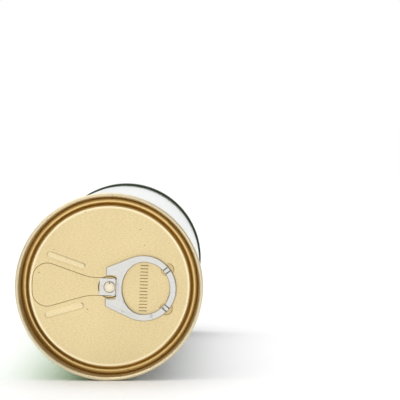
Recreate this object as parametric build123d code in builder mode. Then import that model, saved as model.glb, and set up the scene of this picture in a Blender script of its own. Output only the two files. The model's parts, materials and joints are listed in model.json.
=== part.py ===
from build123d import *
import math
import os

# A three-ball can with a ring-pull end and a push-on plastic cap, lying on its side.
# Millimetres. +Y runs along the can from the ring-pull end to the cap, +Z is up, and the
# origin is on the surface the can lies on, halfway along the can.

# ---- balls -----------------------------------------------------------------------------
ball_radius = 33.0
ball_count = 3
ball_gap = 0.79               # free space between neighbours along the can
ball_clearance = 0.3          # under the balls, where they pass the hem at the mouth
felt_thickness = 3.0
glue_film = 0.1               # between the felt and the rubber core
core_wall = 3.4
seam_cord_radius = 1.4
seam_cord_clearance = 0.05
seam_depth = 1.0              # the cord's centre below the felt's surface
seam_recess = 0.5             # the cord's flat top below the felt's surface
lobe_tilt = 14.0              # degrees that each lobe's centre leaves the ball's equator
cone_reach = 1.2              # length of the cones that cut the lobes, in ball radii
ball_turns = ((20, 35, 10), (75, 10, 50), (10, 80, 115))   # how each ball happens to lie

# ---- sheets, seam and can body ---------------------------------------------------------
body_wall = 0.22
end_sheet = 0.25
bore_clearance = 3.95         # bore radius over ball radius
layer_gap = 0.03              # between the folded layers of the double seam
seam_slack = 0.15             # room for sealing compound beside the body hook
seam_height = 3.0
seam_crest_bend = 0.5
cover_hook_bend = 0.3
cover_hook_start = 1.0        # depth of the cover hook's tip below the crest
body_hook_tip = 2.3           # depth of the body hook's tip below the crest
compound_room = 0.21          # between the crest's inside and the top of the body hook
compound_width = 0.36
hem_bend_ease = 0.01          # straight left between the hem's two bends
hem_length = 3.0
hem_width = 0.36              # between the mid lines of the wall and its folded edge
lap_width = 5.0
lap_height = 0.2
lap_sink = 0.05
lap_angle = -62.0             # degrees round the can from +X, under the lying can

# ---- ring-pull end ---------------------------------------------------------------------
panel_depth = 5.0             # panel face below the seam's crest
countersink_drop = 2.4        # groove's floor below the panel's face
countersink_width = 2.65      # between the mid lines of its two walls
countersink_bend = 1.2
panel_edge_bend = 0.9
chuck_straight = 3.2          # depth at which the chuck wall starts to lean inward
chuck_lean = 0.85
chuck_bend = 2.0
pull_turn = -2.2              # degrees that the pull line leans from level
pull_drop = 0.3               # rivet below the can's axis

tear_margin = 0.85            # panel flat beyond the teardrop's nose
tear_nose_half_width = 10.5
tear_nose_round = 6.0
tear_neck_half_width = 3.6
tear_neck_length = 8.36
tear_neck_round = 18.0
score_gap = 0.06
score_bevel = 0.1
coin_radius = 4.75            # outer edge of the groove coined round the rivet
coin_width = 0.6
coin_depth = 0.14

bead_length = 16.7
bead_width = 2.9
bead_offset = 3.3             # bead centre line outside the teardrop's flank
bead_height = 0.25
bead_slope = 66.0             # degrees that the beads' sides lean from upright

bar_count = 15
bar_pitch = 1.32
bar_length = 3.3
bar_width = 0.42
bar_depth = 0.12
bar_slope = 50.0

# ---- ring tab and rivet ----------------------------------------------------------------
tab_lift = 0.45               # underside of the ring above the panel
tab_thickness = 1.0
tab_sheet = 0.45
tab_edge_round = 0.42
plate_drop = 0.2              # plate's face below the rolled edge's top
ring_center = 13.9            # from the rivet to the ring's centre
ring_radius = 13.35
ring_band = 2.7               # width of the ring's band
band_ease = 0.01              # added to each rolled edge so that they meet in the band
hole_flat = 8.75              # finger hole's reach towards the rivet
shoulder_start = -1.54
shoulder_half_width = 7.9
shoulder_round = 0.9
slot_end = 2.8
slot_width = 1.5
slot_round = 0.7
hinge_gap = 0.03
tongue_nose = -4.04
tongue_margin = 0.15          # tear strip's neck outside the tongue
tongue_round = 0.3
tongue_rest = 0.05            # tongue's underside above the panel
joggle_clearance = 0.25       # from the rivet's head to the rise of the tongue
joggle_run = 0.6              # along which it rises to the plate's level
joggle_land = 0.5             # level again, up to the hinge line
joggle_bend = 0.3
crimp_angle = 39.7            # degrees round the ring from the pull line
crimp_width = 1.75            # between the two grooves of a crimp
crimp_groove = 0.45
crimp_depth = 0.3
crimp_slope = 35.0
bump_angle = 40.0
bump_offset = 0.35            # bump centre outside the middle of the ring's band
bump_radius = 2.75
bump_clearance = 0.15
bump_slope = 50.0
rivet_stem_radius = 1.3
rivet_hole_gap = 0.05
rivet_head_radius = 2.15
rivet_head_height = 0.5
rivet_head_round = 0.35
rivet_bore_radius = 0.85
rivet_bore_depth = 0.7
rivet_nick_width = 0.6
rivet_nick_length = 0.9

# ---- plastic cap -----------------------------------------------------------------------
cap_fit = 0.05                # skirt over the body, and plug wall inside the hem
cap_skirt = 9.5
cap_wall = 0.88
cap_rim_bend = 0.55
cap_recess = 2.6              # centre of the cap below its standing rim
cap_recess_bend = 0.6
cap_lip = 0.3

# ---- sizes that follow -----------------------------------------------------------------
bore_radius = ball_radius + bore_clearance
body_mid = bore_radius + body_wall / 2
body_outer = bore_radius + body_wall
layer_pitch = (body_wall + end_sheet) / 2 + layer_gap
chuck_mid = body_mid - layer_pitch
cover_hook_mid = body_mid + layer_pitch
body_hook_mid = cover_hook_mid + layer_pitch
seam_wall_mid = body_hook_mid + (body_wall + end_sheet) / 2 + seam_slack
seam_radius = seam_wall_mid + end_sheet / 2
axis_height = seam_radius
countersink_depth = panel_depth + countersink_drop
chuck_foot = chuck_mid - chuck_lean
panel_wall_mid = chuck_foot - countersink_width
panel_flat_radius = panel_wall_mid - panel_edge_bend

cap_outer = seam_radius
cap_skirt_wall = cap_outer - body_outer - cap_fit
cap_skirt_mid = cap_outer - cap_skirt_wall / 2
hem_inner = body_mid - hem_width - body_wall / 2
hem_bend = hem_width / 2 - hem_bend_ease
cap_plug_mid = hem_inner - cap_fit - cap_wall / 2
cap_inside = cap_recess + cap_wall

panel_back = panel_depth + end_sheet
balls_length = ball_count * 2 * ball_radius + (ball_count + 1) * ball_gap
can_length = panel_back + balls_length + cap_inside
near_y = -can_length / 2
far_y = can_length / 2
mouth_y = far_y - cap_wall - cap_fit
lap_end = far_y - cap_skirt - cap_fit

core_radius = ball_radius - felt_thickness - glue_film
ball_drop = hem_inner - ball_radius - ball_clearance
ball_height = axis_height - ball_drop
lobe_angle = math.degrees(math.asin(math.sqrt((1 + math.sin(math.radians(lobe_tilt)) ** 2) / 2)))

hole_radius = ring_radius - ring_band
band_mid = ring_radius - ring_band / 2
tab_curl = ring_band / 2 + band_ease
tongue_half_width = tear_neck_half_width - tongue_margin
slot_outer = tongue_half_width + slot_width
joggle_start = rivet_head_radius + joggle_clearance
hinge_line = joggle_start + joggle_run + joggle_land
bump_reach = band_mid + bump_offset
bump_height = tab_lift - bump_clearance
tongue_mid = tongue_rest + tab_sheet / 2
plate_top = tab_lift + tab_thickness - plate_drop
plate_mid = plate_top - tab_sheet / 2
rivet_head_base = tongue_rest + tab_sheet + rivet_hole_gap


# ---- helpers ---------------------------------------------------------------------------
def end_plane(depth):
    """The plane across the can at a depth below the near crest, facing outward, X along the pull line."""
    lean = math.radians(pull_turn)
    return Plane(
        origin=(0, near_y + depth, axis_height - pull_drop),
        x_dir=(math.cos(lean), 0, math.sin(lean)),
        z_dir=(0, -1, 0),
    )


def pull_side_plane():
    """The plane along the pull line that stands on the panel, with its Y outward from the can."""
    face = end_plane(panel_depth)
    return Plane(origin=face.origin, x_dir=face.x_dir, z_dir=-face.y_dir)


def section_plane():
    """Half section of the can: X is the radius and Y runs along the can."""
    return Plane(origin=(0, 0, axis_height), x_dir=(1, 0, 0), z_dir=(0, 0, 1))


def can_axis():
    return Axis((0, 0, axis_height), (0, 1, 0))


def nose_corner():
    """Where the teardrop's flank meets its nose, before rounding."""
    nose_radius = panel_flat_radius - tear_margin
    return -math.sqrt(nose_radius**2 - tear_nose_half_width**2), tear_nose_half_width


def tear_outline(margin):
    """The teardrop: a broad nose beside the panel's edge, straight flanks, and a neck round the rivet."""
    corner_x, corner_y = nose_corner()
    nose_x = tear_margin - panel_flat_radius
    neck = tear_neck_half_width
    with BuildSketch() as outline:
        with BuildLine():
            ThreePointArc((corner_x, corner_y), (nose_x, 0), (corner_x, -corner_y))
            Polyline((corner_x, -corner_y), (-tear_neck_length, -neck), (0, -neck))
            ThreePointArc((0, -neck), (neck, 0), (0, neck))
            Polyline((0, neck), (-tear_neck_length, neck), (corner_x, corner_y))
        make_face()
        across = outline.vertices().group_by(Axis.X)
        fillet(across[0], radius=tear_nose_round)
        across = outline.vertices().filter_by_position(
            Axis.X, -tear_neck_length - score_gap, -tear_neck_length + score_gap
        )
        fillet(across, radius=tear_neck_round)
        if margin:
            offset(amount=margin, mode=Mode.REPLACE)
    return outline.sketch


def bead_outlines():
    """The two straight stiffening beads outside the teardrop's flanks."""
    corner_x, corner_y = nose_corner()
    run_x = -tear_neck_length - corner_x
    run_y = corner_y - tear_neck_half_width
    flank = math.degrees(math.atan2(run_y, run_x))
    out_x = bead_offset * math.sin(math.radians(flank))
    out_y = bead_offset * math.cos(math.radians(flank))
    x = (corner_x - tear_neck_length) / 2 + out_x
    y = (corner_y + tear_neck_half_width) / 2 + out_y
    with BuildSketch() as beads:
        for side in (1, -1):
            with Locations(Location((x, side * y, 0), (0, 0, -side * flank))):
                SlotOverall(bead_length, bead_width)
    return beads.sketch


def bump_outlines():
    """The two round bumps that hold the ring off the panel."""
    with BuildSketch() as bumps:
        for side in (1, -1):
            turn = math.radians(side * bump_angle)
            x = ring_center + bump_reach * math.cos(turn)
            with Locations((x, bump_reach * math.sin(turn))):
                Circle(bump_radius)
    return bumps.sketch


def tab_outline(inset):
    """The ring and its two shoulders, as one hull round the ring's circle."""
    with BuildSketch() as outline:
        with BuildLine():
            CenterArc((ring_center, 0), ring_radius, 0, 360)
            Line((shoulder_start, -shoulder_half_width), (shoulder_start, shoulder_half_width))
        make_hull()
        fillet(outline.vertices().group_by(Axis.X)[0], radius=shoulder_round)
        if inset:
            offset(amount=-inset, mode=Mode.REPLACE)
    return outline.sketch


def finger_hole(margin):
    """Round on the far side and flattened towards the rivet."""
    with BuildSketch() as hole:
        with BuildLine():
            CenterArc((ring_center, 0), hole_radius + margin, -90, 180)
            flat, round_side = hole_flat + margin, hole_radius + margin
            EllipticalCenterArc((ring_center, 0), flat, round_side, 90, arc_size=180)
        make_face()
    return hole.sketch


def press(outline, height, slope):
    """Push an outline outward from the panel, with its hollow behind."""
    with BuildSketch(end_plane(panel_depth)) as front:
        add(outline)
    extrude(front.sketch, amount=height, taper=slope)
    with BuildSketch(end_plane(panel_back)) as behind:
        add(outline)
    extrude(behind.sketch, amount=height, taper=slope, mode=Mode.SUBTRACT)


def coin_rivet_groove():
    """The V groove coined round the rivet."""
    rivet_line = Axis(end_plane(panel_depth).origin, end_plane(panel_depth).z_dir)
    with BuildSketch(pull_side_plane()) as section:
        with BuildLine():
            inner = coin_radius - coin_width
            middle = coin_radius - coin_width / 2
            Polyline((inner, 0), (middle, -coin_depth), (coin_radius, 0), close=True)
        make_face()
    revolve(section.sketch, axis=rivet_line, mode=Mode.SUBTRACT)


os.makedirs("parts", exist_ok=True)

# ---- can body: flanged into the seam, hemmed inward at the mouth -------------------------
with BuildPart() as can_body:
    hook_top = near_y + end_sheet + compound_room + body_wall / 2
    with BuildSketch(section_plane()):
        with BuildLine():
            FilletPolyline(
                (body_hook_mid, near_y + body_hook_tip),
                (body_hook_mid, hook_top),
                (body_mid, hook_top),
                (body_mid, mouth_y - body_wall / 2),
                (body_mid - hem_width, mouth_y - body_wall / 2),
                (body_mid - hem_width, mouth_y - hem_length),
                radius=hem_bend,
            )
        trace(line_width=body_wall)
    revolve(axis=can_axis())
    lap_start = near_y + seam_height + end_sheet
    lap_plane = Plane(origin=(0, lap_start, axis_height), x_dir=(1, 0, 0), z_dir=(0, -1, 0))
    lap_arc = math.degrees(lap_width / body_outer)
    with BuildSketch(lap_plane):
        with BuildLine():
            lap_mid = body_outer + (lap_height - lap_sink) / 2
            CenterArc((0, 0), lap_mid, lap_angle - lap_arc / 2, lap_arc)
        trace(line_width=lap_height + lap_sink)
    extrude(amount=lap_start - lap_end)
can_body.part.label = "can_body"
export_step(can_body.part, "parts/can_body.step")

# ---- ring-pull end: one pressed sheet from the panel to the cover hook --------------------
with BuildPart() as ring_pull_end:
    panel_mid_y = near_y + panel_depth + end_sheet / 2
    groove_mid_y = near_y + countersink_depth + end_sheet / 2
    crest_mid_y = near_y + end_sheet / 2
    seam_foot_y = near_y + seam_height - end_sheet / 2
    with BuildSketch(section_plane()):
        with BuildLine():
            FilletPolyline(
                (0, panel_mid_y),
                (panel_wall_mid, panel_mid_y),
                (panel_wall_mid, groove_mid_y),
                (chuck_foot, groove_mid_y),
                (chuck_mid, near_y + chuck_straight),
                (chuck_mid, crest_mid_y),
                (seam_wall_mid, crest_mid_y),
                (seam_wall_mid, seam_foot_y),
                (cover_hook_mid, seam_foot_y),
                (cover_hook_mid, near_y + cover_hook_start),
                radius=[
                    panel_edge_bend,
                    countersink_bend,
                    countersink_bend,
                    chuck_bend,
                    seam_crest_bend,
                    seam_crest_bend,
                    cover_hook_bend,
                    cover_hook_bend,
                ],
            )
        trace(line_width=end_sheet)
    revolve(axis=can_axis())
    with BuildSketch(end_plane(panel_back)):
        add(tear_outline(score_gap))
    extrude(amount=end_sheet, mode=Mode.SUBTRACT)
    panel_face = ring_pull_end.faces().filter_by(Axis.Y).sort_by(SortBy.AREA)[-2:].sort_by(Axis.Y)[0]
    chamfer(panel_face.inner_wires().edges(), length=score_bevel)
    coin_rivet_groove()
    press(bead_outlines(), bead_height, bead_slope)
    press(bump_outlines(), bump_height, bump_slope)
    with BuildSketch(end_plane(panel_depth)):
        with Locations((ring_center, 0)):
            with GridLocations(0, bar_pitch, 1, bar_count):
                SlotOverall(bar_length, bar_width)
    extrude(amount=-bar_depth, taper=bar_slope, mode=Mode.SUBTRACT)
ring_pull_end.part.label = "ring_pull_end"
export_step(ring_pull_end.part, "parts/ring_pull_end.step")

# ---- sealing compound: a ring inside the seam's crest --------------------------------------
with BuildPart() as seam_compound:
    with BuildSketch(section_plane()):
        with Locations(((chuck_mid + seam_wall_mid) / 2, near_y + end_sheet + compound_room / 2)):
            Rectangle(compound_width, compound_room - layer_gap)
    revolve(axis=can_axis())
seam_compound.part.label = "seam_compound"
export_step(seam_compound.part, "parts/seam_compound.step")

# ---- tear strip: the teardrop with its rivet drawn up from the same sheet ------------------
with BuildPart() as tear_strip:
    with BuildSketch(end_plane(panel_back)):
        add(tear_outline(0))
    extrude(amount=end_sheet)
    chamfer(tear_strip.faces().sort_by(Axis.Y)[0].outer_wire().edges(), length=score_bevel)
    coin_rivet_groove()
    with BuildSketch(end_plane(panel_back)):
        Circle(rivet_stem_radius)
    extrude(amount=end_sheet + rivet_head_base)
    with BuildSketch(end_plane(panel_depth - rivet_head_base)):
        Circle(rivet_head_radius)
    extrude(amount=rivet_head_height)
    fillet(tear_strip.faces().sort_by(Axis.Y)[0].edges(), radius=rivet_head_round)
    with BuildSketch(end_plane(panel_depth - rivet_head_base)):
        with Locations((0, rivet_head_radius)):
            Rectangle(rivet_nick_width, 2 * rivet_nick_length)
    extrude(amount=rivet_head_height, mode=Mode.SUBTRACT)
    with BuildSketch(end_plane(panel_back)):
        Circle(rivet_bore_radius)
    extrude(amount=rivet_bore_depth, mode=Mode.SUBTRACT)
tear_strip.part.label = "tear_strip"
export_step(tear_strip.part, "parts/tear_strip.step")

# ---- tab tongue: the part of the tab held under the rivet's head ---------------------------
with BuildPart() as tab_tongue:
    with BuildSketch(pull_side_plane()):
        with BuildLine():
            FilletPolyline(
                (tongue_nose, tongue_mid),
                (joggle_start, tongue_mid),
                (joggle_start + joggle_run, plate_mid),
                (hinge_line - hinge_gap, plate_mid),
                radius=joggle_bend,
            )
        trace(line_width=tab_sheet)
    extrude(amount=tongue_half_width, both=True)
    nose_face = tab_tongue.faces().sort_by(Axis(end_plane(0).origin, end_plane(0).x_dir))[0]
    fillet(nose_face.edges().filter_by(Axis.Y), radius=tongue_round)
    with BuildSketch(end_plane(panel_depth)):
        Circle(rivet_stem_radius + rivet_hole_gap)
    extrude(amount=rivet_head_base, mode=Mode.SUBTRACT)
tab_tongue.part.label = "tab_tongue"
export_step(tab_tongue.part, "parts/tab_tongue.step")

# ---- pull ring: rolled ring, shoulders and web up to the hinge line ------------------------
with BuildPart() as pull_ring:
    under_plane = end_plane(panel_depth - tab_lift)
    top_plane = end_plane(panel_depth - tab_lift - tab_thickness)
    with BuildSketch(under_plane):
        add(tab_outline(0))
    extrude(amount=tab_thickness)
    flats = pull_ring.faces().sort_by(Axis.Y)
    fillet(flats[0].edges() + flats[-1].edges(), radius=tab_edge_round)
    with BuildSketch(under_plane):
        add(finger_hole(0))
    extrude(amount=tab_thickness, mode=Mode.SUBTRACT)
    flats = pull_ring.faces().sort_by(Axis.Y)
    hole_rims = flats[0].inner_wires().edges() + flats[-1].inner_wires().edges()
    fillet(hole_rims, radius=tab_edge_round)
    with BuildSketch(top_plane):
        add(tab_outline(tab_curl))
        add(finger_hole(tab_curl), mode=Mode.SUBTRACT)
    extrude(amount=-plate_drop, mode=Mode.SUBTRACT)
    with BuildSketch(under_plane):
        add(tab_outline(tab_curl))
        add(finger_hole(tab_curl), mode=Mode.SUBTRACT)
    extrude(amount=tab_thickness - plate_drop - tab_sheet, mode=Mode.SUBTRACT)
    with BuildSketch(under_plane) as tongue_gap:
        slot_length = slot_end - tongue_nose
        with Locations((slot_end - slot_length / 2, 0)):
            Rectangle(slot_length, 2 * slot_outer)
        fillet(tongue_gap.vertices().group_by(Axis.X)[-1], radius=slot_round)
        hinge_length = hinge_line + hinge_gap - tongue_nose
        with Locations((tongue_nose + hinge_length / 2, 0)):
            Rectangle(hinge_length, 2 * (tongue_half_width + hinge_gap))
    extrude(amount=tab_thickness, mode=Mode.SUBTRACT)
    with BuildSketch(top_plane):
        for side in (1, -1):
            turn = side * crimp_angle
            x = ring_center + band_mid * math.cos(math.radians(turn))
            y = band_mid * math.sin(math.radians(turn))
            with Locations(Location((x, y, 0), (0, 0, turn))):
                with GridLocations(0, crimp_width, 1, 2):
                    Rectangle(2 * ring_band, crimp_groove)
    extrude(amount=-crimp_depth, taper=crimp_slope, mode=Mode.SUBTRACT)
pull_ring.part.label = "pull_ring"
export_step(pull_ring.part, "parts/pull_ring.step")

# ---- plastic cap: a channel that clasps the mouth, with a recessed centre ------------------
with BuildPart() as cap:
    rim_mid_y = far_y - cap_wall / 2
    recess_mid_y = far_y - cap_recess - cap_wall / 2
    with BuildSketch(section_plane()):
        with BuildLine():
            FilletPolyline(
                (0, recess_mid_y),
                (cap_plug_mid, recess_mid_y),
                (cap_plug_mid, rim_mid_y),
                (cap_skirt_mid, rim_mid_y),
                radius=[cap_recess_bend, cap_rim_bend],
            )
        trace(line_width=cap_wall)
        with Locations((cap_skirt_mid, far_y - cap_skirt / 2)):
            Rectangle(cap_skirt_wall, cap_skirt)
    revolve(axis=can_axis())
    outer_rims = cap.edges().filter_by(GeomType.CIRCLE).filter_by(
        lambda rim: abs(rim.radius - cap_outer) < layer_gap
    )
    chamfer(outer_rims, length=cap_lip)
cap.part.label = "cap"
export_step(cap.part, "parts/cap.step")

# ---- ball pieces, modelled once round the origin -------------------------------------------
seam_reach = ball_radius - seam_depth
quarter = seam_reach * math.sqrt(0.5)
lobe_top = math.radians(lobe_tilt + lobe_angle)
top_out, top_up = seam_reach * math.cos(lobe_top), seam_reach * math.sin(lobe_top)
with BuildLine() as seam_path:
    ThreePointArc((quarter, quarter, 0), (0, top_out, top_up), (-quarter, quarter, 0))
    ThreePointArc((-quarter, quarter, 0), (-top_out, 0, -top_up), (-quarter, -quarter, 0))
    ThreePointArc((-quarter, -quarter, 0), (0, -top_out, top_up), (quarter, -quarter, 0))
    ThreePointArc((quarter, -quarter, 0), (top_out, 0, -top_up), (quarter, quarter, 0))
seam_start = Plane(origin=seam_path.wire() @ 0, z_dir=seam_path.wire() % 0)

with BuildPart() as seam_groove:
    with BuildSketch(seam_start):
        Circle(seam_cord_radius + seam_cord_clearance)
    sweep(path=seam_path.wire())

with BuildPart() as seam_cord:
    with BuildSketch(seam_start):
        Circle(seam_cord_radius)
    sweep(path=seam_path.wire())
    Sphere(ball_radius - seam_recess, mode=Mode.INTERSECT)

with BuildPart() as felt_panel:
    cone_length = ball_radius * cone_reach
    cone_mouth = cone_length * math.tan(math.radians(lobe_angle))
    low = (Align.CENTER, Align.CENTER, Align.MIN)
    lobe_out, lobe_up = math.cos(math.radians(lobe_tilt)), math.sin(math.radians(lobe_tilt))
    Sphere(ball_radius)
    split(bisect_by=Plane.XY, keep=Keep.BOTTOM)
    for side in (1, -1):
        with Locations(Plane(origin=(0, 0, 0), z_dir=(side * lobe_out, 0, -lobe_up))):
            Cone(0, cone_mouth, cone_length, align=low, mode=Mode.SUBTRACT)
    for side in (1, -1):
        with Locations(Plane(origin=(0, 0, 0), z_dir=(0, side * lobe_out, lobe_up))):
            Cone(0, cone_mouth, cone_length, align=low)
    Sphere(ball_radius, mode=Mode.INTERSECT)
    Sphere(ball_radius - felt_thickness, mode=Mode.SUBTRACT)
    add(seam_groove.part, mode=Mode.SUBTRACT)

with BuildPart() as core_half:
    Sphere(core_radius)
    Sphere(core_radius - core_wall, mode=Mode.SUBTRACT)
    split(bisect_by=Plane.XY, keep=Keep.TOP)

swap_lobes = Axis((0, 0, 0), (1, 1, 0))
ball_pieces = {
    "core_half_a": core_half.part,
    "core_half_b": core_half.part.rotate(Axis.X, 180),
    "felt_panel_a": felt_panel.part.rotate(swap_lobes, 180),
    "felt_panel_b": felt_panel.part,
    "seam": seam_cord.part,
}

# ---- balls: number 1 lies next to the cap ----------------------------------------------------
ball_pitch = 2 * ball_radius + ball_gap
first_ball_y = far_y - cap_inside - ball_gap - ball_radius
for number, turns in enumerate(ball_turns, start=1):
    place = Location((0, first_ball_y - (number - 1) * ball_pitch, ball_height), turns)
    for name, shape in ball_pieces.items():
        with BuildPart() as ball_piece:
            with Locations(place):
                add(shape)
        ball_piece.part.label = f"ball_{number}_{name}"
        export_step(ball_piece.part, f"parts/{ball_piece.part.label}.step")
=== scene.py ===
# %% [markdown]
# # A three-ball can with a ring-pull end
#
# Tennis balls are sold in a sheet-metal can. One end is a pressed aluminium end with a
# teardrop that a ring tab tears out, and the other is a push-on plastic cap. The can, its ends
# and the balls come from a CAD model, which is the fixed frame here: their shapes and places
# stay as they are, and this file gives them their finishes and adds what CAD leaves plain.

# %% Load the frame
import json
import math

import bpy
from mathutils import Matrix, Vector


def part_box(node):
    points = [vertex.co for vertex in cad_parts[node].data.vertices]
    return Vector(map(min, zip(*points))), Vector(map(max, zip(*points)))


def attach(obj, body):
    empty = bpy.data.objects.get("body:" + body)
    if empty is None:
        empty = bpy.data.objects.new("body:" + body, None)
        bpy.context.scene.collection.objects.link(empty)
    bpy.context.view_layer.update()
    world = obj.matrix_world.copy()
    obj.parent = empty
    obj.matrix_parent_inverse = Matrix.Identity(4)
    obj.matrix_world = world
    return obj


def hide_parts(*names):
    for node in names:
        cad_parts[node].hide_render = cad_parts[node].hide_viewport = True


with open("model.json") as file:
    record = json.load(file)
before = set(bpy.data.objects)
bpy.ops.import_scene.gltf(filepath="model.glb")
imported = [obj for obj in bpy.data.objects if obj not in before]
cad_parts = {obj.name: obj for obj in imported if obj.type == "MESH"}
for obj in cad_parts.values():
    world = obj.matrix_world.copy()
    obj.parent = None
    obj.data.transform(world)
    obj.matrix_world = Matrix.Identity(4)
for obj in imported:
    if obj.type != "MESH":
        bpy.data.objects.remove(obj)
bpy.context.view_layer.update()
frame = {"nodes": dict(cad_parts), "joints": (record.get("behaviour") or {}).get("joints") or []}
bpy.ops.object.select_all(action="DESELECT")

# %% [markdown]
# ## Places read from the frame
#
# Everything below is placed from a few lines of the model: the can's axis, the plane of the
# near crest, the panel's plane, and the line from the teardrop's nose through the rivet to the
# bend of the tab. Typing these places in would also work, but only until the model changes.
# Read from the frame, they keep each finish on its metal.

# %% Datum lines
end_low, end_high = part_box("ring_pull_end")
cap_low, cap_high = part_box("cap")
axis_height = (end_low.z + end_high.z) / 2
can_width = end_high.z - end_low.z
near_y = end_low.y
far_y = cap_high.y
joints = {joint["name"]: joint for joint in frame["joints"]}
nose_point, bend_point = (Vector(joints[name]["pos_m"]) for name in ("strip_tear", "ring_lift"))
panel_y = nose_point.y
pull_line = Vector((bend_point.x - nose_point.x, 0, bend_point.z - nose_point.z)).normalized()
rivet_to_bend = 0.0035
rivet = bend_point - pull_line * rivet_to_bend
pull_turn = math.degrees(math.atan2(pull_line.z, pull_line.x))
print("can", round(far_y - near_y, 4), "long,", round(can_width, 4), "across")
print("pull line leans", round(pull_turn, 2), "degrees, rivet at", [round(v, 4) for v in rivet])

# %% [markdown]
# ## A small language for finishes
#
# A finish is a tree of shader nodes. Written node by node it is long and hard to follow, so a
# socket is wrapped in a class with arithmetic: `1 - mask * 0.5` adds the Math nodes itself.
# Any other node comes from one method, `node`, which takes its type, settings and inputs.


# %% Sockets with arithmetic
class Wire:
    """One output of a node tree, with arithmetic on numbers."""

    def __init__(self, owner, socket):
        self.owner = owner
        self.socket = socket

    def maths(self, operation, *values):
        return self.owner.node("Math", dict(enumerate(values)), operation=operation)

    def __add__(self, other):
        return self.maths("ADD", self, other)

    def __sub__(self, other):
        return self.maths("SUBTRACT", self, other)

    def __rsub__(self, other):
        return self.maths("SUBTRACT", other, self)

    def __mul__(self, other):
        return self.maths("MULTIPLY", self, other)

    def __truediv__(self, other):
        return self.maths("DIVIDE", self, other)

    def __pow__(self, other):
        return self.maths("POWER", self, other)

    def __abs__(self):
        return self.maths("ABSOLUTE", self)

    __radd__ = __add__
    __rmul__ = __mul__

    def clear(self, low, high):
        """0 below low and 1 above high, smooth between them."""
        inputs = {"Value": self, "From Min": low, "From Max": high}
        return self.owner.node("MapRange", inputs, interpolation_type="SMOOTHSTEP")


# %% Trees built by calls
class Tree:
    """A node tree that is built by calls."""

    def __init__(self, tree):
        self.tree = tree

    def feed(self, socket, value):
        if isinstance(value, Wire):
            self.tree.links.new(value.socket, socket)
        else:
            socket.default_value = value

    def node(self, kind, inputs=None, output=0, **settings):
        """Adds a node, makes its settings, fills its sockets and returns one output."""
        made = self.tree.nodes.new("ShaderNode" + kind)
        for setting, value in settings.items():
            setattr(made, setting, value)
        for socket, value in (inputs or {}).items():
            self.feed(made.inputs[socket], value)
        return Wire(self, made.outputs[output])

    def split(self, vector):
        """The x, y and z of a vector."""
        return [self.node("SeparateXYZ", {"Vector": vector}, output=axis) for axis in range(3)]

    def bearing(self, rise, run):
        """The angle, in radians, of the direction that goes rise up and run along."""
        return self.node("Math", {0: rise, 1: run}, operation="ARCTAN2")


# %% Finishes
# The Mix node has sockets for numbers, vectors and colours. These are the ones for colours.
mix_first, mix_second, mix_result = 6, 7, 2


class Finish(Tree):
    """A material, with the Principled shader that its tree ends in."""

    def __init__(self, name, **uniform):
        self.material = bpy.data.materials.new(name)
        self.material.use_nodes = True
        super().__init__(self.material.node_tree)
        self.shader = self.tree.nodes["Principled BSDF"]
        for socket, value in uniform.items():
            self.shader.inputs[socket.replace("_", " ")].default_value = value

    def place(self, centre=(0, 0, 0), scale=(1, 1, 1), turn=(0, 0, 0)):
        """Object coordinates, moved to a centre, then turned and stretched."""
        coordinates = self.node("TexCoord", output="Object")
        moved = {"Vector": coordinates, "Location": [-c for c in centre]}
        at_centre = self.node("Mapping", moved, vector_type="POINT")
        turned = {"Vector": at_centre, "Rotation": [math.radians(t) for t in turn], "Scale": scale}
        return self.node("Mapping", turned, vector_type="POINT")

    def steepness(self):
        """0 where a surface faces along the can, and 1 where it stands at right angles to that."""
        return 1 - abs(self.split(self.node("TexCoord", output="Normal"))[1])

    def noise(self, where, size, detail=2.0, roughness=0.5):
        """A smooth random value, about 0.5 in the middle. size is in metres."""
        inputs = {"Vector": where, "Scale": 1 / size, "Detail": detail, "Roughness": roughness}
        return self.node("TexNoise", inputs)

    def blend(self, mask, first, second):
        """The first colour where the mask is 0 and the second where it is 1."""
        inputs = {"Factor": mask, mix_first: first, mix_second: second}
        return self.node("Mix", inputs, output=mix_result, data_type="RGBA")

    def tint(self, tone, mask, dye):
        """The tone, taken the dye's share of the way to its colour where the mask is 1."""
        share, target = dye
        return self.blend(mask * share, tone, target)

    def wear(self, **varying):
        """Feeds what varies over the surface to the shader."""
        for socket, value in varying.items():
            self.feed(self.shader.inputs[socket.replace("_", " ")], value)

    def relief(self, height, depth):
        """Turns a height into small bumps, depth metres from bottom to top."""
        bump = self.node("Bump", {"Height": height, "Distance": depth, "Strength": 1.0}, output="Normal")
        self.wear(Normal=bump)

    def on(self, *nodes):
        """Gives the finish to CAD nodes or new pieces."""
        for piece in nodes:
            piece = frame["nodes"][piece] if isinstance(piece, str) else piece
            piece.data.materials.clear()
            piece.data.materials.append(self.material)
        print(self.material.name, "on", len(nodes), "pieces,", len(self.tree.nodes), "shader nodes")


def colour(red, green, blue):
    return (red, green, blue, 1.0)


# %% [markdown]
# ## Gold-lacquered end
#
# The end and its tear strip are one sheet of rolled aluminium under a gold lacquer. The rolls
# leave a very fine grain in one direction. The groove round the panel is painted a darker brown
# as shade, with a painted highlight along its middle, and the pressed seam is scuffed almost to
# cream where it was rolled.
#
# A texture painted by hand could carry all this, but it would have to be painted again
# whenever the metal changes. Distance from the can's axis tells these zones apart instead, so
# each is a mask that is worked out where it is needed. A pair such as `shade_range` holds the
# values at which a mask starts and is full. A tint such as `bead_highlight_tint` is a share and
# the colour that the tone goes towards.

# %% Zones of the end
panel_edge = 0.0325
panel_blur = 0.0006
groove_middle = 0.0346
groove_highlight_half = 0.0004
groove_highlight_core = groove_highlight_half * 0.3
groove_deep_shade_half = 0.0012
groove_deep_shade_core = groove_deep_shade_half * 0.7
seam_inside = 0.0361
seam_blur = 0.0004

# Painted shade for the groove's walls and its deepest part, and a painted highlight along its bottom.
groove_wall_shade = colour(0.52, 0.34, 0.115)
groove_deep_shade = colour(0.43, 0.285, 0.092)
groove_highlight_line = colour(0.74, 0.53, 0.24)


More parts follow.
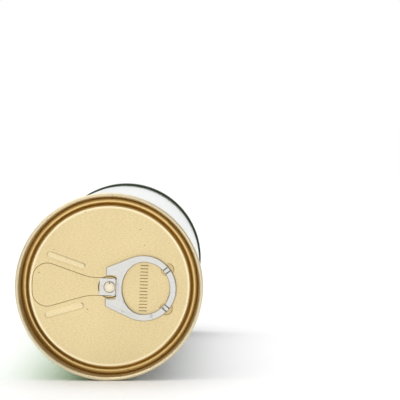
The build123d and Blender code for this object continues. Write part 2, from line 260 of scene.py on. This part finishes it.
def past_panel(reach):
    """0 on the panel and 1 outside it, where reach is the distance from the can's axis."""
    return reach.clear(panel_edge, panel_edge + panel_blur)


def past_groove(reach):
    """0 as far as the chuck wall and 1 on the seam."""
    return reach.clear(seam_inside, seam_inside + seam_blur)


def groove_shading(gold, reach):
    """Painted shade in the groove: brown, darkest round its middle, with a painted highlight line there.
    """
    from_middle = abs(reach - groove_middle)
    in_deep_shade = 1 - from_middle.clear(groove_deep_shade_core, groove_deep_shade_half)
    on_highlight = 1 - from_middle.clear(groove_highlight_core, groove_highlight_half)
    return gold.blend(on_highlight, gold.blend(in_deep_shade, groove_wall_shade, groove_deep_shade), groove_highlight_line)


print("panel", round(2 * panel_edge, 4), "across, groove", round(seam_inside - panel_edge, 4), "wide")


# %% Rolled grain of the panel
grain_stretch = (1, 1, 2.2)
grain_turn = (0, 35, 0)
grain_size = 0.0009
grain_share = 0.8
cloud_size = 0.03
shade_range = (0.25, 0.75)

lacquer_deep = colour(0.67, 0.535, 0.29)
lacquer_pale = colour(0.86, 0.715, 0.41)


def rolled_grain(gold):
    """The height of the fine marks that the rolls leave."""
    rolled = gold.place((0, panel_y, axis_height), grain_stretch, grain_turn)
    return gold.noise(rolled, grain_size, detail=4.0, roughness=0.6)


def panel_tone(gold, grain, along):
    """Gold that varies with the grain, and a little from one side of the panel to the other."""
    cloud = gold.noise(along, cloud_size)
    shade = (grain * grain_share + cloud * (1 - grain_share)).clear(*shade_range)
    return gold.blend(shade, lacquer_deep, lacquer_pale)


# %% Pressed marks of the panel
field_edge = panel_edge - 0.0012
field_blur = 0.0004
shine_range = (panel_edge - 0.0011, panel_edge - 0.0003)
rise_range = (0.00002, 0.00014)
mark_range = (0.000015, 0.000045)
middle_range = (-0.002, 0.002)
slope_range = (0.02, 0.35)

# Painted light: shade on slopes, a shadow on the bumps under the ring, shade in the cut marks, and
# highlights on the beads' crowns and round the panel's edge.
slope_shade_tint = (0.25, colour(0.42, 0.29, 0.11))
bead_highlight_tint = (0.3, colour(0.96, 0.84, 0.56))
bump_shadow_tint = (0.4, colour(0.46, 0.33, 0.14))
mark_shade_tint = (0.8, colour(0.30, 0.20, 0.08))
shine = colour(0.97, 0.84, 0.56)


def pressed_tone(gold, tone, along, reach):
    """Painted shade on slopes, on the bumps under the ring and in cut marks; painted highlights on the
    beads and round the edge.
    """
    side, depth, _ = gold.split(along)
    field = 1 - reach.clear(field_edge, field_edge + field_blur)
    on_panel = 1 - past_panel(reach)
    raised = (0 - depth).clear(*rise_range) * field
    under_ring = side.clear(*middle_range)
    tone = gold.tint(tone, gold.steepness().clear(*slope_range) * field, slope_shade_tint)
    tone = gold.tint(tone, raised * (1 - under_ring), bead_highlight_tint)
    tone = gold.tint(tone, raised * under_ring, bump_shadow_tint)
    tone = gold.blend(reach.clear(*shine_range) * on_panel, tone, shine)
    return gold.tint(tone, depth.clear(*mark_range) * on_panel, mark_shade_tint)


print("beads and bumps stand out more than", rise_range[0], "and marks are cut deeper than", mark_range[0])


# %% Scuffed seam and specks
tick_stretch = (1, 0.1, 1)
tick_size = 0.0006
tick_range = (0.55, 0.7)
specks_per_metre = 170.0
speck_range = (0.035, 0.075)

seam_cream = colour(0.76, 0.66, 0.45)
seam_scuffed = colour(0.60, 0.52, 0.37)
speck_tint = (0.5, colour(0.16, 0.10, 0.04))


def seam_tone(gold):
    """Cream, with short darker ticks that run over the seam's crest."""
    over_crest = gold.place((0, panel_y, axis_height), tick_stretch)
    ticks = gold.noise(over_crest, tick_size).clear(*tick_range)
    return gold.blend(ticks, seam_cream, seam_scuffed)


def specks(gold, along):
    """A few dark dots, each at the centre of a random cell."""
    cells = gold.node("TexVoronoi", {"Vector": along, "Scale": specks_per_metre, "Randomness": 1.0})
    return 1 - cells.clear(*speck_range)


# %% Rivet head
rivet_radius = 0.0022
head_edge = rivet_radius * 1.05
head_height_range = (-0.0006, -0.0004)
dimple_edge = rivet_radius * 0.64
dimple_line_range = (0.00008, 0.00022)
head_side_range = (0.05, 0.5)

head_gold = colour(0.86, 0.78, 0.60)
dimple_tint = (0.5, colour(0.58, 0.48, 0.31))
# Painted shade on the sloping sides of the rivet head.
head_side_shade_tint = (0.6, colour(0.45, 0.38, 0.26))


def with_rivet_head(gold, tone):
    """The tone, with paler gold on the rivet's head, where the lacquer was stretched, and painted shade on
    its sides.
    """
    across, out, high = gold.split(gold.place((rivet.x, panel_y, rivet.z)))
    reach = (across * across + high * high) ** 0.5
    head = (1 - reach.clear(rivet_radius, head_edge)) * (1 - out.clear(*head_height_range))
    dimple_line = 1 - abs(reach - dimple_edge).clear(*dimple_line_range)
    head_tone = gold.tint(head_gold, dimple_line, dimple_tint)
    head_tone = gold.tint(head_tone, gold.steepness().clear(*head_side_range), head_side_shade_tint)
    return gold.blend(head, tone, head_tone)


print("rivet head", round(2 * rivet_radius, 4), "across")


# %% Gold lacquer
lacquer_roughness = 0.40
grain_roughness = 0.10
groove_polish = 0.10
grain_depth = 0.000006


def gold_lacquer():
    gold = Finish("gold_lacquer", Metallic=1.0)
    along = gold.place((0, panel_y, axis_height))
    x, _, z = gold.split(along)
    reach = (x * x + z * z) ** 0.5
    seam = past_groove(reach)
    groove = past_panel(reach) * (1 - seam)
    grain = rolled_grain(gold)

    tone = pressed_tone(gold, panel_tone(gold, grain, along), along, reach)
    tone = gold.blend(groove, tone, groove_shading(gold, reach))
    tone = gold.blend(seam, tone, seam_tone(gold))
    tone = gold.tint(tone, specks(gold, along), speck_tint)
    gold.wear(Base_Color=with_rivet_head(gold, tone))
    gold.wear(Roughness=lacquer_roughness + grain * grain_roughness - groove * groove_polish)
    gold.relief(grain, grain_depth)
    return gold


gold_lacquer().on("ring_pull_end", "tear_strip")

# %% [markdown]
# ## Bare aluminium tab
#
# The tab is stamped from uncoated aluminium, so it is neutral silver with a faint drawing
# grain along its length and a few dull handling marks. Its rolled sides turn dark, because
# they mirror the shaded panel beside them, and its step up from the tongue to the ring turns
# bright. In a detailed room the metal would mirror such tones by itself. In a plain bright
# tent there is little to mirror, so the steepness of the surface gives them.

# %% Places on the tab
ring_middle = 0.0139
band_middle = 0.0120
crimp_angle = math.radians(39.7)
crimp_width = 0.00175
crimp_line_range = (0.00005, 0.00055)
step_middle = 0.0029
step_half_range = (0.0006, 0.0010)
step_side_range = (0.0028, 0.0032)
# Painted shade round the foot of the rivet head and under it.
rivet_shade_range = (rivet_radius + 0.00005, rivet_radius + 0.0004)


def tab_places(silver):
    """Masks for painted shade at the rivet head, the step up to the ring and the lines of the crimps."""
    across, _, high = silver.split(silver.place((rivet.x, panel_y, rivet.z)))
    ahead = across * pull_line.x + high * pull_line.z
    aside = abs(high * pull_line.x - across * pull_line.z)
    rivet_shade = 1 - ((across * across + high * high) ** 0.5).clear(*rivet_shade_range)
    step = 1 - abs(ahead - step_middle).clear(*step_half_range)
    step = step * (1 - aside.clear(*step_side_range))
    round_ring = silver.bearing(aside, ahead - ring_middle)
    from_crimp = abs(round_ring - crimp_angle) * band_middle
    crimp = 1 - abs(from_crimp - crimp_width / 2).clear(*crimp_line_range)
    return rivet_shade, step, crimp


print("crimps", round(math.degrees(crimp_angle), 1), "degrees to either side of the pull line")


# %% Tab metal
draw_stretch = (1, 1, 14)
draw_size = 0.004
scuff_size = 0.002
scuff_range = (0.62, 0.72)
step_face_range = (0.05, 0.4)
side_range = (0.2, 0.6)

silver_deep = colour(0.57, 0.56, 0.53)
silver_pale = colour(0.76, 0.75, 0.71)
step_shine = colour(0.98, 0.97, 0.94)
side_tint = (0.95, colour(0.20, 0.18, 0.14))
scuff_tint = (0.35, colour(0.40, 0.40, 0.40))
# Painted shade in the crimps' grooves.
crimp_shade_tint = (0.3, colour(0.20, 0.19, 0.17))
# Painted shade round and under the rivet head.
rivet_shade_tint = (0.7, colour(0.16, 0.12, 0.08))

tab_roughness = 0.34
draw_roughness = 0.12
scuff_roughness = 0.15
draw_depth = 0.000003


def tab_metal():
    silver = Finish("tab_aluminium", Metallic=1.0)
    drawn = silver.place((0, near_y, axis_height), draw_stretch)
    grain = silver.noise(drawn, draw_size, detail=3.0)
    scuff = silver.noise(silver.place(), scuff_size).clear(*scuff_range)
    rivet_shade, step, crimp = tab_places(silver)
    steep = silver.steepness()

    tone = silver.blend(grain, silver_deep, silver_pale)
    tone = silver.blend(steep.clear(*step_face_range) * step, tone, step_shine)
    tone = silver.tint(tone, steep.clear(*side_range) * (1 - step), side_tint)
    tone = silver.tint(tone, scuff, scuff_tint)
    # Painted shade in the grooves of the crimps.
    tone = silver.tint(tone, crimp, crimp_shade_tint)
    # Painted shade round and under the rivet head, kept off the step.
    silver.wear(Base_Color=silver.tint(tone, rivet_shade * (1 - step), rivet_shade_tint))
    silver.wear(Roughness=tab_roughness + grain * draw_roughness + scuff * scuff_roughness)
    silver.relief(grain, draw_depth)
    return silver


tab_metal().on("tab_tongue", "pull_ring")

# %% [markdown]
# ## Printed can body
#
# The body is one sheet of tinplate, printed flat, rolled up and welded along a lap. Outside it is
# white enamel under a clear varnish: a dark band runs round beside the cap and a green panel
# covers the underside, both plain ink with a pinstripe outside their edges. The print stops
# short of the weld, so a bare margin shows there, and the inside of the tube is bare tinplate.
#
# The print could be an image, wrapped round the tube by a UV map. The bands are so plain that
# the distance round the tube and the distance along it place them just as well, with an edge
# that stays crisp however near the camera comes.

# %% Layout of the print
body_skin = 0.03706
band_width = 0.022
band_start = cap_low.y - near_y - band_width
stripe_gap = 0.0014
stripe_width = 0.0008
stripe_range = (stripe_width * 0.4, stripe_width * 0.6)
ink_blur = 0.0002
band_blur = 0.0003
green_middle = math.radians(-114)
green_edge = math.radians(38) * body_skin
lap_middle = math.radians(-62)
margin_range = (math.radians(5.5), math.radians(5.8))
inner_skin_range = (body_skin - 0.00004, body_skin + 0.00002)


def stripe(way, start):
    """1 between start and start plus the pinstripe's width."""
    return 1 - abs(way - start - stripe_width / 2).clear(*stripe_range)


def green_print(turn):
    """Masks for the green panel and the pinstripe outside its edges."""
    round_way = abs(turn - green_middle) * body_skin
    panel = 1 - round_way.clear(green_edge, green_edge + ink_blur)
    return panel, stripe(round_way, green_edge + stripe_gap)


def dark_print(length):
    """Masks for the pinstripe before the dark band and the band itself."""
    band = length.clear(band_start, band_start + band_blur)
    return stripe(length, band_start - stripe_gap - stripe_width), band


print("dark band from", round(band_start, 4), "green panel", round(2 * green_edge, 4), "wide")


# %% Printed tinplate
streak_stretch = (1, 0.06, 1)
streak_size = 0.004
drawn_stretch = (1, 0.03, 1)
drawn_size = 0.0012

enamel = colour(0.70, 0.725, 0.70), colour(0.82, 0.845, 0.815)
green_ink = colour(0.20, 0.42, 0.09), colour(0.26, 0.49, 0.12)
dark_ink = colour(0.020, 0.032, 0.010), colour(0.034, 0.048, 0.018)
bare_tin = colour(0.50, 0.49, 0.46), colour(0.66, 0.65, 0.61)

varnish_roughness = 0.28
streak_roughness = 0.1


def printed_tinplate():
    tinplate = Finish("printed_tinplate", Coat_Weight=0.6, Coat_Roughness=0.12, IOR=1.5)
    x, length, z = tinplate.split(tinplate.place((0, near_y, axis_height)))
    reach = (x * x + z * z) ** 0.5
    turn = tinplate.bearing(z, x)
    streak = tinplate.noise(tinplate.place(scale=streak_stretch), streak_size)

    tone = tinplate.blend(streak, *enamel)
    for ink, masks in ((green_ink, green_print(turn)), (dark_ink, dark_print(length))):
        for mask in masks:
            tone = tinplate.blend(mask, tone, tinplate.blend(streak, *ink))

    margin = 1 - abs(turn - lap_middle).clear(*margin_range)
    inside = 1 - reach.clear(*inner_skin_range)
    bare = 1 - (1 - margin) * (1 - inside)
    drawn = tinplate.noise(tinplate.place(scale=drawn_stretch), drawn_size, detail=3.0)
    tinplate.wear(Base_Color=tinplate.blend(bare, tone, tinplate.blend(drawn, *bare_tin)), Metallic=bare)
    tinplate.wear(Roughness=varnish_roughness + streak * streak_roughness)
    return tinplate


printed_tinplate().on("can_body")

# %% [markdown]
# ## Cap, sealing compound and balls
#
# The cap is moulded in dark green plastic with a fine matt texture. A ring of rubbery compound
# seals the seam. Inside are three balls: napped felt panels over a rubber core, joined by a
# pale rubber seam.
#
# Felt could be made of hair, but thousands of strands are slow to render and can't be exported
# as one mesh. Noise that is stretched in three directions gives crossing fibres instead.


# %% Plastic
mould_size = 0.0007
mould_depth = 0.00002
cap_roughness = 0.42
mould_roughness = 0.15
cap_green = colour(0.022, 0.038, 0.012), colour(0.040, 0.064, 0.022)


def cap_plastic():
    plastic = Finish("cap_plastic", IOR=1.48)
    mould = plastic.noise(plastic.place(), mould_size)
    plastic.wear(Base_Color=plastic.blend(mould, *cap_green))
    plastic.wear(Roughness=cap_roughness + mould * mould_roughness)
    plastic.relief(mould, mould_depth)
    return plastic


plastic = cap_plastic()
plastic.on("cap")

# %% Rubber
mottle_size = 0.0015
mottle_depth = 0.00005
mottle_roughness = 0.2

core_brown = colour(0.03, 0.028, 0.026), colour(0.06, 0.055, 0.05)
seam_pale = colour(0.62, 0.64, 0.52), colour(0.80, 0.81, 0.70)
compound_grey = colour(0.50, 0.49, 0.44), colour(0.62, 0.61, 0.56)


def plain_rubber(name, tones, roughness):
    rubber = Finish(name)
    mottle = rubber.noise(rubber.place(), mottle_size, detail=4.0)
    rubber.wear(Base_Color=rubber.blend(mottle, *tones))
    rubber.wear(Roughness=roughness + mottle * mottle_roughness)
    rubber.relief(mottle, mottle_depth)
    return rubber


core_halves = [f"ball_{number}_core_half_{side}" for number in (1, 2, 3) for side in ("a", "b")]
plain_rubber("core_rubber", core_brown, roughness=0.6).on(*core_halves)
plain_rubber("seam_rubber", seam_pale, roughness=0.4).on("ball_1_seam", "ball_2_seam", "ball_3_seam")
plain_rubber("sealing_compound", compound_grey, roughness=0.6).on("seam_compound")

# %% Felt
fibre_turns = ((20, 0, 35), (75, 40, 0), (0, 65, 110))
fibre_stretch = (1, 1, 0.16)
fibre_size = 0.00035
fibre_range = (0.40, 0.62)
tuft_size = 0.0035
tuft_range = (0.3, 0.7)
tuft_rise = 0.5
felt_depth = 0.0004

felt_tones = colour(0.36, 0.50, 0.035), colour(0.74, 0.88, 0.17)
tuft_tint = (0.35, colour(0.56, 0.70, 0.10))


def ball_felt():
    """Short fibres that lie in three directions, gathered in small tufts of a plainer green."""
    felt = Finish("ball_felt", Roughness=0.95, Sheen_Weight=0.5, Sheen_Roughness=0.5)
    layers = [felt.noise(felt.place(scale=fibre_stretch, turn=turn), fibre_size) for turn in fibre_turns]
    fibres = (sum(layers) / len(layers)).clear(*fibre_range)
    tuft = felt.noise(felt.place(), tuft_size, detail=3.0).clear(*tuft_range)
    felt.wear(Base_Color=felt.tint(felt.blend(fibres, *felt_tones), tuft, tuft_tint))
    felt.relief(fibres + tuft * tuft_rise, felt_depth)
    return felt


felt_panels = [f"ball_{number}_felt_panel_{side}" for number in (1, 2, 3) for side in ("a", "b")]
felt = ball_felt()
felt.on(*felt_panels)

# %% [markdown]
# ## Low ridges on the cap
#
# A soft plastic lid has a few low ridges in its recessed face, which stop it from bowing. A
# flattened torus would do, but its height and width hang together. Here a ridge's oval section
# is drawn once, at its true width and height, and spun about the can's axis, half of it sunk in
# the plastic so that no gap shows.


# %% Helpers for new pieces
def select_only(piece):
    bpy.ops.object.select_all(action="DESELECT")
    piece.select_set(True)
    bpy.context.view_layer.objects.active = piece


def apply_modifiers(piece):
    select_only(piece)
    for modifier in [m.name for m in piece.modifiers]:
        bpy.ops.object.modifier_apply(modifier=modifier)


def settle(piece, name, finish, body):
    """Names a finished piece, gives it its finish and lets it ride on its body."""
    piece.name = name
    finish.on(piece)
    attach(piece, body)
    print(name, len(piece.data.polygons), "faces")


# %% Ridges
cap_recess = 0.0026
cap_face = far_y - cap_recess
ridge_width = 0.0018
ridge_height = 0.0004
section_points = 20
ridge_steps = 160
ridge_weld = 0.00001
ridge_radii = {"inner": 0.0185, "middle": 0.0240, "outer": 0.0295}


def cap_ridge(radius):
    """A low ridge on the cap's face, half of its oval section sunk in the plastic."""
    axis_point = (0, cap_face, axis_height)
    bpy.ops.mesh.primitive_circle_add(
        vertices=section_points, radius=ridge_width / 2, location=(radius, cap_face, axis_height)
    )
    ridge = bpy.context.object
    ridge.scale.y = 2 * ridge_height / ridge_width
    bpy.ops.object.transform_apply(location=True, rotation=True, scale=True)
    bpy.ops.object.mode_set(mode="EDIT")
    bpy.ops.mesh.select_all(action="SELECT")
    bpy.ops.mesh.spin(steps=ridge_steps, angle=2 * math.pi, center=axis_point, axis=(0, 1, 0))
    bpy.ops.mesh.select_all(action="SELECT")
    bpy.ops.mesh.remove_doubles(threshold=ridge_weld)
    bpy.ops.mesh.normals_make_consistent(inside=False)
    bpy.ops.object.mode_set(mode="OBJECT")
    bpy.ops.object.shade_smooth()
    return ridge


for place, radius in ridge_radii.items():
    settle(cap_ridge(radius), f"cap_ridge_{place}", plastic, "lid")

# %% [markdown]
# ## Gate boss on the cap
#
# In the middle of the cap is the spot where the plastic was injected: a flat boss, dished so
# that the torn gate in it doesn't stand proud. A turned profile would give the same shape. It is
# made here as by hand, from a cylinder whose outer face is inset and pushed a few times,
# because each inset is then one plain size.

# %% Gate boss
boss_radius = 0.0065
boss_height = 0.0005
boss_rim = boss_radius * 0.16
dish_depth = 0.0002
dish_slope = dish_depth * 2
gate_radius = 0.0009
gate_height = 0.0006
gate_taper = gate_radius * 0.2
boss_sides = 96
edge_round = 0.00012
edge_steps = 3
sharp_angle = math.radians(40)
outward = 0.9


def cap_boss():
    """A low disc with a rim, a shallow dish and the stub of the gate in its middle."""
    bpy.ops.mesh.primitive_cylinder_add(
        vertices=boss_sides,
        radius=boss_radius,
        depth=2 * boss_height,
        location=(0, cap_face, axis_height),
        rotation=(math.pi / 2, 0, 0),
    )
    boss = bpy.context.object
    bpy.ops.object.transform_apply(location=True, rotation=True, scale=True)
    bpy.ops.object.mode_set(mode="EDIT")
    bpy.ops.mesh.select_all(action="DESELECT")
    bpy.ops.object.mode_set(mode="OBJECT")
    for face in boss.data.polygons:
        face.select = face.normal.y > outward
    bpy.ops.object.mode_set(mode="EDIT")
    bpy.ops.mesh.select_mode(type="FACE")
    bpy.ops.mesh.inset(thickness=boss_rim)
    bpy.ops.mesh.inset(thickness=dish_slope)
    bpy.ops.transform.translate(value=(0, -dish_depth, 0))
    bpy.ops.mesh.inset(thickness=boss_radius - boss_rim - dish_slope - gate_radius)
    bpy.ops.mesh.inset(thickness=gate_taper)
    bpy.ops.transform.translate(value=(0, gate_height, 0))
    bpy.ops.object.mode_set(mode="OBJECT")
    bevel = boss.modifiers.new("edges", "BEVEL")
    bevel.width = edge_round
    bevel.segments = edge_steps
    bevel.limit_method = "ANGLE"
    apply_modifiers(boss)
    bpy.ops.object.shade_smooth_by_angle(angle=sharp_angle)
    return boss


settle(cap_boss(), "cap_gate_boss", plastic, "lid")

# %% [markdown]
# ## Nap on the balls
#
# The felt on a ball is a thick cloth brushed up into a nap, so its surface is never the smooth
# shell that holds its place in the model. A bump in the material would leave the outline
# smooth. So each panel is copied, given an even mesh, and raised and lowered by a fraction of
# a millimetre with a cloud texture. The copy replaces the plain panel on show, and the plain
# one goes on carrying the weight and the contact.

# %% Napped panels
nap_weld = 0.000001
nap_mesh = 0.00065
nap_height = 0.0004
nap_clump = 0.0016

nap_pattern = bpy.data.textures.new("nap", "CLOUDS")
nap_pattern.noise_scale = nap_clump
nap_pattern.noise_depth = 3


def napped_panel(node):
    """A copy of a felt panel with its surface broken up into low clumps."""
    panel = bpy.data.objects.new(node + "_nap", frame["nodes"][node].data.copy())
    bpy.context.scene.collection.objects.link(panel)
    select_only(panel)
    bpy.ops.object.mode_set(mode="EDIT")
    bpy.ops.mesh.select_all(action="SELECT")
    bpy.ops.mesh.remove_doubles(threshold=nap_weld)
    bpy.ops.object.mode_set(mode="OBJECT")
    even = panel.modifiers.new("even", "REMESH")
    even.mode = "VOXEL"
    even.voxel_size = nap_mesh
    even.use_smooth_shade = True
    nap = panel.modifiers.new("nap", "DISPLACE")
    nap.texture = nap_pattern
    nap.texture_coords = "LOCAL"
    nap.strength = nap_height
    nap.mid_level = 0.5
    apply_modifiers(panel)
    return panel


for node in felt_panels:
    panel = napped_panel(node)
    body = node.partition("_felt")[0]
    settle(panel, node + "_nap", felt, body)
    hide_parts(node)

# %% [markdown]
# ## Floor
#
# The can lies on a white table. The plane is far wider than the view, so its edge never shows,
# and a trace of uneven white keeps it from looking like empty space.

# %% Floor
floor_size = 8.0
dust_size = 0.02
table_white = colour(0.96, 0.96, 0.96), colour(0.985, 0.985, 0.985)

bpy.ops.mesh.primitive_plane_add(size=floor_size, location=(0, 0, 0))
floor = bpy.context.object
floor.name = "floor"
table = Finish("floor_white", Roughness=0.55)
dust = table.noise(table.place(), dust_size)
table.wear(Base_Color=table.blend(dust, *table_white))
table.on(floor)

# %% [markdown]
# ## Light
#
# The can lies in a bright tent: light comes softly from all round, with one large softbox
# above, a white card on the camera's side and brighter walls at the back and at the right.
# Lamps could stand for each, but their outlines would show as hard patches in the metal. Here
# the world itself shines, and how brightly depends on the direction, so what the metal mirrors
# has no hard edges. What the camera sees past the table is plain white.

# %% Light
tent_dark = 0.235
card_aim = Vector((-0.10, -1.0, -0.16)).normalized()
card_inner, card_outer = 12.0, 34.0
card_strength = 1.85
roof_aim = Vector((-0.36, -0.22, 1.0)).normalized()
roof_inner, roof_outer = 18.0, 55.0
roof_strength = 1.6
rear_range = (-0.05, 0.35)
rear_lean = 0.25
rear_strength = 0.70
right_wall_range = (0.6, 0.95)
right_wall_strength = 0.25
backdrop = 1.0

world = bpy.data.worlds.new("tent")
world.use_nodes = True
bpy.context.scene.world = world
tent = Tree(world.node_tree)
direction = tent.node("TexCoord", output="Generated")
right, back, _ = tent.split(direction)


def glow_toward(aim, inner, outer):
    """1 within inner degrees of a direction, falling to 0 at outer degrees."""
    alike = tent.node("VectorMath", {0: direction, 1: aim}, output="Value", operation="DOT_PRODUCT")
    return alike.clear(math.cos(math.radians(outer)), math.cos(math.radians(inner)))


card = glow_toward(card_aim, card_inner, card_outer) * card_strength
roof = glow_toward(roof_aim, roof_inner, roof_outer) * roof_strength
rear = back.clear(*rear_range) * (1 + right * rear_lean) * rear_strength
right_wall = right.clear(*right_wall_range) * right_wall_strength
glow = tent_dark + card + roof + rear + right_wall
seen = tent.node("LightPath", output="Is Camera Ray")
shell = world.node_tree.nodes["Background"]
shell.inputs["Color"].default_value = colour(1.0, 1.0, 1.0)
tent.feed(shell.inputs["Strength"], glow * (1 - seen) + seen * backdrop)
bpy.context.scene.view_settings.view_transform = "Standard"
print("tent:", len(world.node_tree.nodes), "nodes")

# %% [markdown]
# ## Camera
#
# The camera looks almost straight at the ring-pull end from about ten can widths off, a little
# above the can and to its right, through a long lens that keeps the end nearly round.

# %% Camera
camera_distance = 0.7525
camera_right = 0.0334
camera_rise = 0.056
camera_down = 1.58
camera_toward_right = 0.26
sensor_width = 36.0
focal_length = 167.7
sight_end = 20.0

lens = bpy.data.cameras.new("camera")
lens.sensor_width = sensor_width
lens.lens = focal_length
lens.clip_end = sight_end
camera = bpy.data.objects.new("camera", lens)
bpy.context.scene.collection.objects.link(camera)
camera.location = (camera_right, near_y - camera_distance, axis_height + camera_rise)
camera.rotation_euler = (math.radians(90 - camera_down), 0, math.radians(-camera_toward_right))
bpy.context.scene.camera = camera
print("camera at", [round(v, 3) for v in camera.location])
